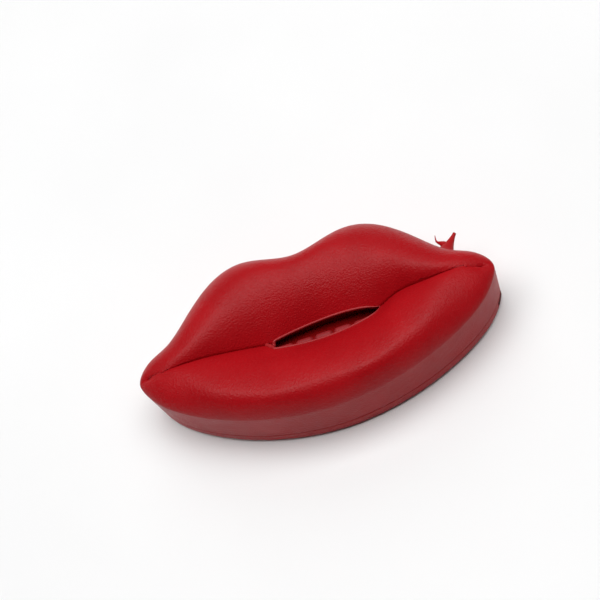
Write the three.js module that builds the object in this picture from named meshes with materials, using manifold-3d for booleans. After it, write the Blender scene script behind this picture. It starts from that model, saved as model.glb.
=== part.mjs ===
// A one-piece novelty telephone in the shape of a pair of lips.
//
// The phone stands on its underside, with the lips facing up. The underside carries the keypad, the
// earpiece, the mouthpiece and the hook plunger, which the table holds pressed in while it rests.
// Millimetres, +Z up, X along the lips, +Y towards the upper lip. Z is 0 at the bottom of the feet.
// Inside this file Y is 0 at the corners of the mouth; the exported group moves the box's middle to 0.

import * as THREE from "three";
import { mergeVertices } from "three/addons/utils/BufferGeometryUtils.js";
import Module from "manifold-3d";

const wasm = await Module();
wasm.setup();

// ---------------------------------------------------------------- driving dimensions

const halfLength = 110;
const lowerDepth = 52.4; // how far the lower lip reaches towards -Y
const upperPeak = 57.4; // how far the two peaks of the upper lip reach towards +Y
const rimHeight = 37; // top of the upright side wall, where the lips begin
const crestHeight = 15; // height of the lips' crest over the rim
const tipHeight = 3; // height of the lips over the rim at their corners
const crestRoundness = 0.72; // under 1, the lips swell up quickly from the rim
const tipFall = 5; // how late the crest comes down towards the corners
const seamHeight = 10.5;
const seamGap = 0.3;
const wall = 2.4;
const footHeight = 2;
const floorThickness = 2.5;
const clearance = 0.3;

const floorTop = footHeight + floorThickness;
const seamBottom = seamHeight - seamGap / 2;
const seamTop = seamHeight + seamGap / 2;

const lowerTaper = 0.935; // how far the lower lip narrows at the corners
const tipSquareness = 26; // how late the corners round off

// Points [share of the half length, mm] that the outlines pass through.
const upperRimPoints = [
  [0, 50],
  [0.3, upperPeak],
  [0.5, 50.8],
  [0.65, 36.3],
  [0.8, 19.8],
  [0.92, 13.5],
  [1, 8.4],
];
const mouthHeightPoints = [
  [0, 28],
  [0.25, 31.5],
  [0.4, 35],
  [0.5, 38.5],
  [0.6, 42.3],
  [0.75, 46.2],
  [0.85, 46.6],
  [0.92, 45.2],
  [0.97, 42.9],
  [1, rimHeight + tipHeight],
];
// The mouth line isn't symmetric, so its shares run from -1 at the left corner to 1 at the right.
const mouthLinePoints = [
  [-1, 0],
  [-0.9, -0.9],
  [-0.7, -0.2],
  [-0.5, 1.2],
  [-0.38, 1.4],
  [-0.26, 0.4],
  [0, -1.8],
  [0.25, -2.2],
  [0.38, -0.8],
  [0.46, 1.7],
  [0.54, 2.9],
  [0.65, 1.9],
  [0.82, 1.2],
  [0.93, 1.1],
  [1, 0],
];
// Where the lips are highest, as a share of the way from the rim to the mouth line.
const upperCrestPoints = [
  [0, 0.29],
  [0.2, 0.31],
  [0.4, 0.46],
  [0.6, 0.64],
  [0.8, 0.78],
  [1, 0.9],
];
const lowerCrestPoints = [
  [0, 0.26],
  [0.3, 0.235],
  [0.47, 0.3],
  [0.62, 0.42],
  [0.78, 0.76],
  [1, 0.95],
];
const mouthLineShare = 0.93; // the mouth line ends short of the tips

// The slit between the lips: blunt at its left end and pointed at its right.
const slit = { left: -26.3, right: 41, widest: 8, halfWidth: 6, y: -2.1, leftReach: 42 };

// Places on the underside, [x, y].
const keyPitch = 15;
const keypad = { x: -7.5, y: 0 };
const bezel = { x: 1, y: 0, length: 84, width: 50, bottom: 3.6, thickness: 2 };
const earpiece = { x: -73, y: -2, radius: 19 };
const mouthpiece = { x: 84, y: -2, radius: 12 };
const hook = { x: 57, y: -2, length: 9.4, width: 17.4, travel: 4 };
const modeSwitch = { x: 8, y: -37, travel: 3 };
const ringerSwitch = { x: 99, y: -1.5, z: 6, travel: 4.4 };
const ringerSlot = { y: -2.1, length: 15.2, height: 5.2 };
const caseScrews = [
  [-46, 34],
  [-46, -34],
  [52, 30],
  [52, -34],
];
const feet = [
  [-60, 30],
  [-60, -34],
  [66, 24],
  [66, -28],
];
const wellScrews = [
  [-36.8, 0],
  [46, 0],
];
const boardScrews = [
  [-47, 18],
  [-47, -18],
  [49, 18],
  [49, -20],
];
// Places on the circuit board, [x, y].
const chipPlace = [32, -15];
const transformerPlace = [-31, 12.5];
const capacitorPlace = [-30, -18];
const terminalPlace = [38, 17];
const board = { x: 7.5, y: 0, length: 117, width: 50, bottom: 10.4, thickness: 1.6 };
const boardTop = board.bottom + board.thickness;
const ringer = { x: 1, y: 0, radius: 17.5 };
const gland = { x: 85.4, y: 21.8, z: 28, angle: Math.atan2(0.777, 0.63), neck: 3.4, reach: 17 };

const stations = 32; // columns along each lip
const lipRows = [0.03, 0.1, 0.2, 0.33, 0.47, 0.62, 0.76, 0.89, 1];
const liningRows = [0.05, 0.2, 0.47, 0.76, 1];

// ---------------------------------------------------------------- materials

const material = (color, roughness, metalness = 0) =>
  new THREE.MeshStandardMaterial({ color, roughness, metalness });
const looks = {
  redShell: material(0xb0121c, 0.42),
  redTrim: material(0x9c1019, 0.5),
  ivory: material(0xece4d2, 0.4),
  blackPlastic: material(0x17171a, 0.5),
  rubber: material(0x1d1d1f, 0.85),
  greyRubber: material(0x8d9094, 0.8),
  board: material(0x3f7a4a, 0.6),
  steel: material(0xb9bcc0, 0.35, 0.9),
  brass: material(0xc9a24c, 0.35, 0.9),
  blueSleeve: material(0x28406f, 0.45),
  foam: material(0x2b2b2d, 0.95),
};

// ---------------------------------------------------------------- solids and booleans

// A three.js geometry as a manifold-3d solid. Triangles that the merge has collapsed are dropped.
function solid(geometry) {
  const plain = geometry.index ? geometry.toNonIndexed() : geometry.clone();
  plain.deleteAttribute("normal");
  plain.deleteAttribute("uv");
  const merged = mergeVertices(plain, 1e-4);
  const index = merged.index.array;
  const kept = [];
  for (let i = 0; i < index.length; i += 3) {
    const [a, b, c] = index.subarray(i, i + 3);
    if (a !== b && b !== c && a !== c) kept.push(a, b, c);
  }
  return new wasm.Manifold(
    new wasm.Mesh({
      numProp: 3,
      vertProperties: merged.attributes.position.array,
      triVerts: new Uint32Array(kept),
    }),
  );
}

function geometryOf(manifold) {
  const mesh = manifold.getMesh();
  const geometry = new THREE.BufferGeometry();
  geometry.setAttribute("position", new THREE.BufferAttribute(mesh.vertProperties, 3));
  geometry.setIndex(new THREE.BufferAttribute(mesh.triVerts, 1));
  geometry.computeVertexNormals();
  return geometry;
}

const join = (first, ...rest) => rest.reduce((sum, next) => sum.add(next), first);
const cut = (first, ...rest) => rest.reduce((left, next) => left.subtract(next), first);

// An upright prism over a THREE.Shape, from z = bottom to z = top.
function prism(shape, bottom, top, curveSegments = 6) {
  const options = { depth: top - bottom, bevelEnabled: false, curveSegments };
  return solid(new THREE.ExtrudeGeometry(shape, options).translate(0, 0, bottom));
}

function roundedRectangle(x, y, length, width, radius) {
  const left = x - length / 2;
  const right = x + length / 2;
  const low = y - width / 2;
  const high = y + width / 2;
  const shape = new THREE.Shape();
  shape.moveTo(left + radius, low);
  shape.lineTo(right - radius, low);
  shape.absarc(right - radius, low + radius, radius, -Math.PI / 2, 0);
  shape.lineTo(right, high - radius);
  shape.absarc(right - radius, high - radius, radius, 0, Math.PI / 2);
  shape.lineTo(left + radius, high);
  shape.absarc(left + radius, high - radius, radius, Math.PI / 2, Math.PI);
  shape.lineTo(left, low + radius);
  shape.absarc(left + radius, low + radius, radius, Math.PI, Math.PI * 1.5);
  return shape;
}

function block(x, y, length, width, bottom, top) {
  const box = new THREE.BoxGeometry(length, width, top - bottom);
  return solid(box.translate(x, y, (bottom + top) / 2));
}

const roundedBlock = (x, y, length, width, radius, bottom, top) =>
  prism(roundedRectangle(x, y, length, width, radius), bottom, top, 2);

// An upright cylinder or cone.
function post(x, y, radius, bottom, top, sides = 20, topRadius = radius) {
  const cylinder = new THREE.CylinderGeometry(topRadius, radius, top - bottom, sides);
  return solid(cylinder.rotateX(Math.PI / 2).translate(x, y, (bottom + top) / 2));
}

// A body turned about an upright axis from [radius, z] points that start and end on the axis,
// or close on themselves.
function turned(x, y, profile, sides = 24) {
  const points = profile.map(([radius, z]) => new THREE.Vector2(radius, z));
  return solid(new THREE.LatheGeometry(points, sides).rotateX(Math.PI / 2).translate(x, y, 0));
}

const tubeProfile = (inner, outer, bottom, top) => [
  [inner, bottom],
  [outer, bottom],
  [outer, top],
  [inner, top],
  [inner, bottom],
];

// A round bar of the given radius along a curve.
function bar(curve, radius, steps, sides = 8) {
  const section = new THREE.Shape();
  section.absarc(0, 0, radius, 0, Math.PI * 2);
  const options = { steps, extrudePath: curve, curveSegments: sides, bevelEnabled: false };
  return solid(new THREE.ExtrudeGeometry(section, options));
}

const curveThrough = (points) =>
  new THREE.CatmullRomCurve3(points.map(([x, y, z]) => new THREE.Vector3(x, y, z)));

// ---------------------------------------------------------------- the shape of the lips

// A smooth line through [share, value] points, level at the first of them.
function smooth(points, share) {
  const last = points.length - 1;
  let i = 0;
  while (i < last - 1 && share > points[i + 1][0]) i++;
  const slope = (a, b) => (points[b][1] - points[a][1]) / (points[b][0] - points[a][0]);
  const startSlope = i === 0 ? 0 : slope(i - 1, i + 1);
  const endSlope = i + 1 === last ? slope(i, last) : slope(i, i + 2);
  const width = points[i + 1][0] - points[i][0];
  const t = (share - points[i][0]) / width;
  return (
    points[i][1] * (1 + 2 * t) * (1 - t) ** 2 +
    startSlope * width * t * (1 - t) ** 2 +
    points[i + 1][1] * (3 - 2 * t) * t ** 2 -
    endSlope * width * (1 - t) * t ** 2
  );
}

// Rounds an outline off at the tips.
const tipRounding = (share) => Math.sqrt(Math.max(0, 1 - share ** tipSquareness));

function rimY(share, isUpper) {
  if (isUpper) return smooth(upperRimPoints, share) * tipRounding(share);
  return -lowerDepth * (1 - lowerTaper * share ** 1.9) ** 0.72 * tipRounding(share);
}

// Half the slit's width at x.
function slitReach(x) {
  const isLeft = x < slit.widest;
  const reach = isLeft ? slit.leftReach : slit.right - slit.widest;
  const place = Math.min(1, Math.abs(x - slit.widest) / reach);
  return slit.halfWidth * (1 - place ** 2) ** (isLeft ? 0.5 : 0.6);
}

// The middle of the slit, which bends into the mouth line near its pointed end.
function slitMiddle(x) {
  const bend = THREE.MathUtils.smoothstep(x, slit.right - 5, slit.right + 2.5);
  const line = smooth(mouthLinePoints, x / (mouthLineShare * halfLength));
  return slit.y + (line - slit.y) * bend;
}

// A station is one column of the skin: its place on the rim and the point of the mouth line beside
// it. Stations run anticlockwise seen from above, from the right tip over the upper lip to the left
// tip and back along the lower lip.
function stationRing() {
  const ring = [];
  for (let i = 0; i < 2 * stations; i++) {
    const isUpper = i < stations;
    const along = Math.cos((i / stations) * Math.PI);
    const share = Math.abs(along);
    const tip = tipHeight + (crestHeight - tipHeight) * (1 - share ** tipFall) ** 0.75;
    ring.push({
      x: halfLength * along,
      y: rimY(share, isUpper),
      lineX: mouthLineShare * halfLength * along,
      lineY: smooth(mouthLinePoints, along),
      lineZ: smooth(mouthHeightPoints, share),
      crestZ: rimHeight + tip,
      crestPlace: smooth(isUpper ? upperCrestPoints : lowerCrestPoints, share),
    });
  }
  return ring;
}

const ring = stationRing();

// The rim's outline moved inwards, square to itself.
function insetOutline(inset) {
  return ring.map((here, i) => {
    const before = ring[(i + ring.length - 1) % ring.length];
    const after = ring[(i + 1) % ring.length];
    const along = new THREE.Vector2(after.x - before.x, after.y - before.y).normalize();
    return new THREE.Vector2(here.x - along.y * inset, here.y + along.x * inset);
  });
}

// Height of the lips, `part` of the way from the rim to the mouth line.
function lipHeight({ crestZ, lineZ, crestPlace }, part) {
  const rise = (1 - (1 - Math.min(part / crestPlace, 1)) ** 2) ** crestRoundness;
  const fall = Math.max(0, (part - crestPlace) / (1 - crestPlace)) ** 2;
  return rimHeight + (crestZ - rimHeight) * rise - (crestZ - lineZ) * fall;
}

// One row of the skin as points in space.
function lipRow(part, inset, sink) {
  const outline = insetOutline(inset);
  return ring.map((station, i) => {
    const { x, y } = outline[i];
    return new THREE.Vector3(
      x + (station.lineX - x) * part,
      y + (station.lineY - y) * part,
      lipHeight(station, part) - sink,
    );
  });
}

const levelRow = (inset, z) => insetOutline(inset).map(({ x, y }) => new THREE.Vector3(x, y, z));

// A closed body through rows of points, bottom row first. The bottom row is capped; the top row is
// capped too unless its two halves meet along the mouth line.
function loft(rows, capTop = true) {
  const points = rows.flat();
  const count = rows[0].length;
  const index = [];
  for (let row = 0; row < rows.length - 1; row++) {
    for (let i = 0; i < count; i++) {
      const next = (i + 1) % count;
      const [a, b] = [row * count + i, row * count + next];
      const [c, d] = [a + count, b + count];
      index.push(a, b, d, a, d, c);
    }
  }
  const flat = (row) => row.map(({ x, y }) => new THREE.Vector2(x, y));
  const cap = THREE.ShapeUtils.triangulateShape(flat(rows[0]), []);
  for (const [a, b, c] of cap) index.push(a, c, b);
  if (capTop) {
    const base = (rows.length - 1) * count;
    const lid = THREE.ShapeUtils.triangulateShape(flat(rows[rows.length - 1]), []);
    for (const [a, b, c] of lid) index.push(base + a, base + b, base + c);
  }
  const geometry = new THREE.BufferGeometry().setFromPoints(points);
  geometry.setIndex(index);
  return solid(geometry);
}

const slab = (inset, bottom, top) => loft([levelRow(inset, bottom), levelRow(inset, top)]);

function lipsBody(bottom) {
  const rows = [levelRow(0, bottom), levelRow(0, rimHeight - 2)];
  for (const part of [0, ...lipRows]) rows.push(lipRow(part, 0, 0));
  return loft(rows, false);
}

function lipsCavity(bottom) {
  const sink = wall * 1.15;
  const rows = [levelRow(wall, bottom), levelRow(wall, rimHeight - 2 - sink)];
  for (const part of liningRows) rows.push(lipRow(part, wall, sink));
  return loft(rows, false);
}

// The slit as an upright prism.
function mouthHole(bottom, top) {
  const steps = 16;
  const shape = new THREE.Shape();
  for (let i = 0; i < 2 * steps; i++) {
    const turn = (i / steps) * Math.PI;
    const x = slit.left + ((slit.right - slit.left) * (1 + Math.cos(turn))) / 2;
    const side = Math.sign(steps - i);
    const y = slitMiddle(x) + side * slitReach(x);
    if (i === 0) shape.moveTo(x, y);
    else shape.lineTo(x, y);
  }
  return prism(shape, bottom, top);
}

// ---------------------------------------------------------------- openings through the casing

// A round piece along the gland's axis, which leaves the back wall high up, near the right corner.
function alongGland(radius, from, to, sides = 16, farRadius = radius) {
  const cylinder = new THREE.CylinderGeometry(farRadius, radius, to - from, sides);
  cylinder.rotateZ(-Math.PI / 2).translate((from + to) / 2, 0, 0);
  return solid(cylinder.rotateZ(gland.angle).translate(gland.x, gland.y, gland.z));
}

const glandHole = () => alongGland(gland.neck + clearance, -12, 12);

function ringerWindow() {
  const box = new THREE.BoxGeometry(20, ringerSlot.length, ringerSlot.height);
  return solid(box.translate(halfLength, ringerSlot.y, ringerSwitch.z));
}

const modeWindow = () =>
  roundedBlock(modeSwitch.x, modeSwitch.y, 9, 4, 0.6, footHeight - 1, floorTop + 1);

// ---------------------------------------------------------------- the two shells

function upperShell() {
  const outer = lipsBody(seamTop);
  const tongueTop = seamTop + 2;
  let shell = cut(outer, lipsCavity(seamTop - 1), mouthHole(20, 60));
  const posts = [
    ...caseScrews.map(([x, y]) => post(x, y, 4, seamTop + 1.5, 60, 14)),
    ...wellScrews.map(([x, y]) => post(x, y, 3, mouthWell.bottom + 2.7, 60, 12)),
  ];
  const bosses = posts.map((boss) => boss.intersect(outer));
  const tongueOuter = slab(wall + clearance, seamBottom - 2, seamTop + 0.5);
  const tongueRoot = slab(wall - 0.2, seamTop + 0.5, tongueTop);
  const tongueInner = slab(wall + 1.5, seamBottom - 3, tongueTop + 1);
  shell = join(shell, cut(join(tongueOuter, tongueRoot), tongueInner), ...bosses);
  const pilots = [
    ...caseScrews.map(([x, y]) => post(x, y, 1.55, seamTop, 26, 10)),
    ...wellScrews.map(([x, y]) => post(x, y, 1.15, mouthWell.bottom, 29.5, 8)),
  ];
  return cut(shell, ...pilots, glandHole(), ringerWindow());
}

function lowerShell() {
  const bevel = 1.6;
  let shell = loft([
    levelRow(bevel, footHeight),
    levelRow(bevel * 0.3, footHeight + bevel * 0.45),
    levelRow(0, footHeight + bevel * 1.2),
    levelRow(0, seamBottom),
  ]);
  shell = cut(shell, loft([levelRow(wall, floorTop), levelRow(wall, seamBottom + 1)]));
  const towers = [
    ...caseScrews.map(([x, y]) => post(x, y, 4, floorTop - 0.5, seamTop + 1.2, 14)),
    ...boardScrews.map(([x, y]) => post(x, y, 2.8, floorTop - 0.5, board.bottom - 0.1, 12)),
    turned(earpiece.x, earpiece.y, tubeProfile(16.6, 18, floorTop - 0.5, 8), 28),
    turned(mouthpiece.x, mouthpiece.y, tubeProfile(7.3, 8.6, floorTop - 0.5, 8), 20),
  ];
  shell = join(shell, ...towers);
  const under = footHeight - 1;
  const holes = [
    roundedBlock(bezel.x, bezel.y, bezel.length - 3, bezel.width - 3, 3, under, floorTop + 1),
    post(earpiece.x, earpiece.y, 15.4, under, floorTop + 1, 28),
    post(earpiece.x, earpiece.y, earpiece.radius + clearance, under, 3.6, 32),
    post(mouthpiece.x, mouthpiece.y, 7, under, floorTop + 1, 20),
    post(mouthpiece.x, mouthpiece.y, mouthpiece.radius + clearance, under, 3.6, 24),
    roundedBlock(hook.x, hook.y, hook.length + 0.6, hook.width + 0.6, 1.5, under, floorTop + 1),
    modeWindow(),
    ringerWindow(),
    ...caseScrews.map(([x, y]) => post(x, y, 1.7, under, seamTop + 3, 10)),
    ...caseScrews.map(([x, y]) => post(x, y, 3.3, under, 7.2, 12)),
    ...boardScrews.map(([x, y]) => post(x, y, 1.3, 6, board.bottom + 1, 8)),
    ...feet.map(([x, y]) => post(x, y, 5.3, under, 2.8, 14)),
  ];
  const seat = roundedBlock(
    bezel.x,
    bezel.y,
    bezel.length + 0.6,
    bezel.width + 0.6,
    4.2,
    bezel.bottom - 0.2,
    floorTop + 1,
  );
  return cut(shell, ...holes, seat);
}

// ---------------------------------------------------------------- the mouth

const teeth = { count: 5, x: 4, y: -4.8, pitch: 12, width: 11.4, depth: 6, top: 32 };
const mouthWell = { x: 5, y: -1, length: 75, width: 21, bottom: 21.2, floor: 1.8, top: 29 };

function mouthWellSolid() {
  const { x, y, length, width, bottom, floor, top } = mouthWell;
  const side = 1.6;
  const outer = roundedBlock(x, y, length, width, 7, bottom, top);
  const inner = roundedBlock(x, y, length - 2 * side, width - 2 * side, 5.5, bottom + floor, top + 1);
  const ears = wellScrews.map(([earX, earY]) =>
    roundedBlock(earX, earY, 9.4, 8, 2.5, bottom, bottom + 2.4),
  );
  const holes = wellScrews.map(([earX, earY]) => post(earX, earY, 1.3, bottom - 1, top, 8));
  return cut(join(outer, ...ears), inner, ...holes);
}

// Rounded teeth on one bar, standing in the well just behind the lower lip.
function teethSolid() {
  const { count, x, y, pitch, width, depth, top } = teeth;
  const foot = mouthWell.bottom + mouthWell.floor + clearance;
  const row = Array.from({ length: count }, (_, i) => {
    const place = x + (i - (count - 1) / 2) * pitch;
    return roundedBlock(place, y, width, depth, 2.6, foot, top);
  });
  const rail = roundedBlock(x, y - 0.6, (count - 1) * pitch + 4, 3.4, 1, foot, 27.5);
  return join(rail, ...row);
}

// ---------------------------------------------------------------- keypad

const keyNames = ["1", "2", "3", "4", "5", "6", "7", "8", "9", "star", "0", "hash"];
const keySize = { along: 9.5, across: 11, bottom: 2.4, flange: 5.9, top: 6.9 };
const functionKeys = { redial_key: [34.5, 11.5], mute_key: [34.5, -11.5] };
const functionKeySize = { along: 7, across: 17 };

// Rows run away from the earpiece; each row reads from +Y to -Y when the underside faces you.
function keyPlace(number) {
  const row = Math.floor(number / 3);
  const column = number % 3;
  return [keypad.x + (row - 1.5) * keyPitch, keypad.y + (1 - column) * keyPitch];
}

const keyPlaces = keyNames.map((_, number) => keyPlace(number));

function keySolid(x, y, along, across) {
  const { bottom, flange, top } = keySize;
  const cap = roundedBlock(x, y, along, across, 1.8, bottom, flange + 0.3);
  return join(cap, block(x, y, along + 2.2, across + 2.2, flange, top));
}

function bezelSolid() {
  const { x, y, length, width, bottom, thickness } = bezel;
  const plate = roundedBlock(x, y, length, width, 4, bottom, bottom + thickness);
  const hole = ([keyX, keyY], along, across) =>
    roundedBlock(keyX, keyY, along + 0.6, across + 0.6, 2, bottom - 1, bottom + thickness + 1);
  const holes = [
    ...keyPlaces.map((place) => hole(place, keySize.along, keySize.across)),
    ...Object.values(functionKeys).map((place) =>
      hole(place, functionKeySize.along, functionKeySize.across),
    ),
  ];
  return cut(plate, ...holes);
}

// The rubber sheet's domes stand just above the keys' full travel.
function membraneSolid() {
  const sheet = roundedBlock(bezel.x, bezel.y, bezel.length - 4, bezel.width - 4, 3, 8.9, 10.1);
  const places = [...keyPlaces, ...Object.values(functionKeys)];
  return join(sheet, ...places.map(([x, y]) => post(x, y, 3.4, 8.4, 9.2, 10, 4)));
}

// ---------------------------------------------------------------- earpiece and mouthpiece

function soundCap(place, spigot, holePlaces, holeRadius) {
  const { x, y, radius } = place;
  const cap = join(
    post(x, y, radius - 0.8, footHeight, footHeight + 0.6, 32, radius),
    post(x, y, radius, footHeight + 0.6, 3.3, 32),
    post(x, y, spigot, 3.2, floorTop, 28),
  );
  const dish = turned(
    x,
    y,
    [
      [0, footHeight - 1],
      [radius - 3.5, footHeight - 1],
      [radius - 3.5, footHeight],
      [radius * 0.4, footHeight + 0.8],
      [0, footHeight + 0.9],
    ],
    28,
  );
  const holes = holePlaces.map(([dx, dy]) =>
    post(x + dx, y + dy, holeRadius, footHeight - 1, floorTop + 1, 8),
  );
  return cut(cap, dish, ...holes);
}

const circleOfHoles = (count, radius) =>
  Array.from({ length: count }, (_, i) => [
    radius * Math.cos((i / count) * 2 * Math.PI),
    radius * Math.sin((i / count) * 2 * Math.PI),
  ]);

const earpieceHoles = [[0, 0], ...circleOfHoles(6, 5.2), ...circleOfHoles(12, 10.4)];
const mouthpieceHoles = [[0, 0], ...circleOfHoles(6, 4)];

const receiverSolid = () =>
  turned(earpiece.x, earpiece.y, [
    [0, 6.5],
    [16.2, 6.5],
    [16.2, 10.5],
    [14.5, 12],
    [10.5, 12.6],
    [10.5, 17],
    [0, 17],
  ]);

const ringSolid = (place, inner, outer, bottom, top, sides) =>
  turned(place.x, place.y, tubeProfile(inner, outer, bottom, top), sides);

// ---------------------------------------------------------------- hook switch

const plungerTop = 9.7;
const plungerFlange = 8.7;
const bracketTop = 22;

function plungerSolid() {
  const { x, y, length, width } = hook;
  return join(
    roundedBlock(x, y, length - 1.2, width - 1.2, 1.2, 0, 0.7),
    roundedBlock(x, y, length, width, 1.4, 0.6, plungerFlange + 0.2),
    block(x, y, length + 3, width + 3, plungerFlange, plungerTop),
    post(x, y, 1.9, plungerTop - 0.1, bracketTop + 1, 12),
  );
}

function springSolid() {
  const turns = 6;
  const bottom = plungerTop + 0.8;
  const height = bracketTop - 2 - 0.8 - bottom;
  const points = [];
  for (let i = 0; i <= turns * 10; i++) {
    const angle = (i / 10) * 2 * Math.PI;
    const z = bottom + (height * i) / (turns * 10);
    points.push([hook.x + 3.1 * Math.cos(angle), hook.y + 3.1 * Math.sin(angle), z]);
  }
  return bar(curveThrough(points), 0.35, turns * 10, 5);
}

function bracketSolid() {
  const foot = boardTop + 0.1;
  const plate = block(hook.x, hook.y, 12, 24, bracketTop - 2, bracketTop);
  const legs = [-11, 11].map((dy) => block(hook.x, hook.y + dy, 12, 2, foot, bracketTop - 1));
  return cut(join(plate, ...legs), post(hook.x, hook.y, 2.3, bracketTop - 3, bracketTop + 1, 14));
}

// A micro switch whose button faces the plunger's pin.
function hookSwitchSolid() {
  const bottom = boardTop + 0.1;
  const body = block(hook.x - 12.5, hook.y, 9, 13, bottom, bottom + 7);
  return join(body, block(hook.x - 7.5, hook.y, 2, 3, bottom + 3, bottom + 5));
}

// ---------------------------------------------------------------- slide switches

function modeSwitchBody() {
  const body = block(modeSwitch.x, modeSwitch.y, 14, 7, floorTop + 0.3, floorTop + 5.3);
  const slot = block(modeSwitch.x, modeSwitch.y, 7.6, 2.4, floorTop - 1, floorTop + 2.3);
  return cut(body, slot);
}

function modeKnob() {
  const x = modeSwitch.x - modeSwitch.travel / 2;
  const cap = block(x, modeSwitch.y, 3.6, 3.2, footHeight + 0.5, floorTop - 0.2);
  return join(cap, block(x, modeSwitch.y, 3, 1.6, floorTop - 0.4, floorTop + 1.8));
}

function ringerSwitchBody() {
  const { x, y, z } = ringerSwitch;
  const body = block(x - 1.6, y, 4.8, 13, floorTop + 0.3, z + 3.4);
  return cut(body, block(x + 0.4, y, 2, 8.4, z - 0.9, z + 0.9));
}

// The knob's outer face follows the casing's outline and stands just proud of it.
function ringerKnob() {
  const { x, z, travel } = ringerSwitch;
  const stemY = ringerSwitch.y - travel / 2;
  const proud = 0.8;
  const reach = block(x + 7.2, stemY - 0.7, 7.4, 8, z - 2, z + 2);
  const cap = slab(-proud, z - 1.6, z + 1.6).intersect(reach);
  return join(cap, block(x + 2.1, stemY, 4, 2.4, z - 0.6, z + 0.6));
}

// ---------------------------------------------------------------- cord gland

// A tapering strain relief pressed through the back wall, with an empty bore for the line cord and
// a bent locking tab on its left.
function glandSolid() {
  const { neck, reach } = gland;
  const bodyParts = [
    alongGland(5, -6.2, -4.2),
    alongGland(neck, -4.4, 1.4),
    alongGland(5.3, 1.2, 2.7),
    alongGland(4.6, 2.5, 6, 16, 2.9),
    alongGland(2.9, 5.9, 11, 16, 1.9),
    alongGland(1.9, 10.9, reach, 16, 1.1),
  ];
  const tabRoute = [
    [2.2, 4.2, 0],
    [3.4, 5.6, 0],
    [5.2, 6.7, 0],
    [7.6, 7.6, 0],
  ];
  const turn = THREE.MathUtils.radToDeg(gland.angle);
  const tab = bar(curveThrough(tabRoute), 0.5, 5, 6).rotate([0, 0, turn]);
  const body = join(...bodyParts, tab.translate([gland.x, gland.y, gland.z]));
  return cut(body, alongGland(0.7, -8, reach + 1, 10));
}

// ---------------------------------------------------------------- screws, feet and electronics

function screwSolid(x, y, headRadius, headBottom, headTop, shankRadius, shankTop) {
  const head = post(x, y, headRadius, headBottom, headTop, 12);
  const shank = post(x, y, shankRadius, headTop - 0.1, shankTop, 8);
  const drive = (length, width) => block(x, y, length, width, headBottom - 1, headBottom + 0.8);
  return cut(join(head, shank), drive(headRadius, 0.7), drive(0.7, headRadius));
}

const caseScrewSolid = ([x, y]) => screwSolid(x, y, 2.9, 5.1, 7, 1.4, 22);

const wellScrewSolid = ([x, y]) => {
  const { bottom } = mouthWell;
  return screwSolid(x, y, 2.4, bottom - 1.9, bottom - 0.15, 1, bottom + 7);
};

function boardScrewSolid([x, y]) {
  const head = post(x, y, 2.4, boardTop + 0.15, boardTop + 1.9, 12);
  const shank = post(x, y, 1.1, 6.6, boardTop + 0.3, 8);
  const slot = block(x, y, 6, 0.6, boardTop + 1.3, boardTop + 3);
  return cut(join(head, shank), slot);
}

const footSolid = ([x, y]) =>
  turned(
    x,
    y,
    [
      [0, 0],
      [4.2, 0],
      [4.9, 0.6],
      [4.9, 2.6],
      [0, 2.6],
    ],
    16,
  );

function boardSolid() {
  const { x, y, length, width, bottom } = board;
  const plate = roundedBlock(x, y, length, width, 2, bottom, boardTop);
  const under = bottom - 1;
  const over = boardTop + 1;
  const holes = [
    post(hook.x, hook.y, 4.2, under, over, 16),
    ...boardScrews.map(([hx, hy]) => post(hx, hy, 1.5, under, over, 8)),
  ];
  return cut(plate, ...holes);
}

const onBoard = boardTop + 0.1;

function chipSolid() {
  const [x, y] = chipPlace;
  const legCount = 8;
  const legPitch = 2.54;
  const body = block(x, y, 22, 6.6, onBoard + 0.6, onBoard + 4);
  const legs = Array.from({ length: legCount }, (_, i) => {
    const dx = (i - (legCount - 1) / 2) * legPitch;
    return block(x + dx, y, 0.6, 8.2, onBoard, onBoard + 1.8);
  });
  return join(body, ...legs);
}

function transformerSolid() {
  const [x, y] = transformerPlace;
  const core = block(x, y, 16, 15, onBoard + 2, onBoard + 8.4);
  const coil = block(x, y, 9, 19, onBoard + 3, onBoard + 7.6);
  return join(core, coil, block(x, y, 14, 17, onBoard, onBoard + 2.4));
}

const capacitorSolid = () =>
  turned(
    ...capacitorPlace,
    [
      [0, onBoard],
      [4, onBoard],
      [4, onBoard + 0.8],
      [3.7, onBoard + 1.3],
      [4, onBoard + 1.8],
      [4, onBoard + 11.4],
      [3.6, onBoard + 12],
      [0, onBoard + 12],
    ],
    18,
  );

function ringerCupSolid() {
  const cup = post(ringer.x, ringer.y, ringer.radius, onBoard, onBoard + 6.4, 28);
  return cut(cup, post(ringer.x, ringer.y, ringer.radius - 1.6, onBoard + 1.4, 30, 28));
}

const ringerDiscSolid = () =>
  join(
    post(ringer.x, ringer.y, ringer.radius - 2, onBoard + 3.2, onBoard + 3.6, 28),
    post(ringer.x, ringer.y, ringer.radius - 6, onBoard + 3.5, onBoard + 3.9, 24),
  );

function terminalSolid() {
  const [x, y] = terminalPlace;
  const housing = block(x, y, 7, 11, onBoard, onBoard + 6);
  const holes = [-3.4, 0, 3.4].map((dy) => post(x, y + dy, 1.1, onBoard + 2, onBoard + 8, 8));
  return cut(housing, ...holes);
}

const receiverLead = () =>
  bar(
    curveThrough([
      [-70, 3, 18.1],
      [-62, 5, 20],
      [-52, 7, 18],
      [-45, 8, 14.5],
      [-43.5, 8, 12.9],
    ]),
    0.8,
    12,
    6,
  );

const microphoneLead = () =>
  bar(
    curveThrough([
      [84, -2, 12.2],
      [81, -4, 15],
      [72, -8, 15.6],
      [65, -9, 14.6],
      [62, -9, 12.9],
    ]),
    0.8,
    12,
    6,
  );

// ---------------------------------------------------------------- the assembly

const phone = new THREE.Group();
phone.name = "lips_telephone";
phone.position.y = (lowerDepth - upperPeak) / 2;

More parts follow.
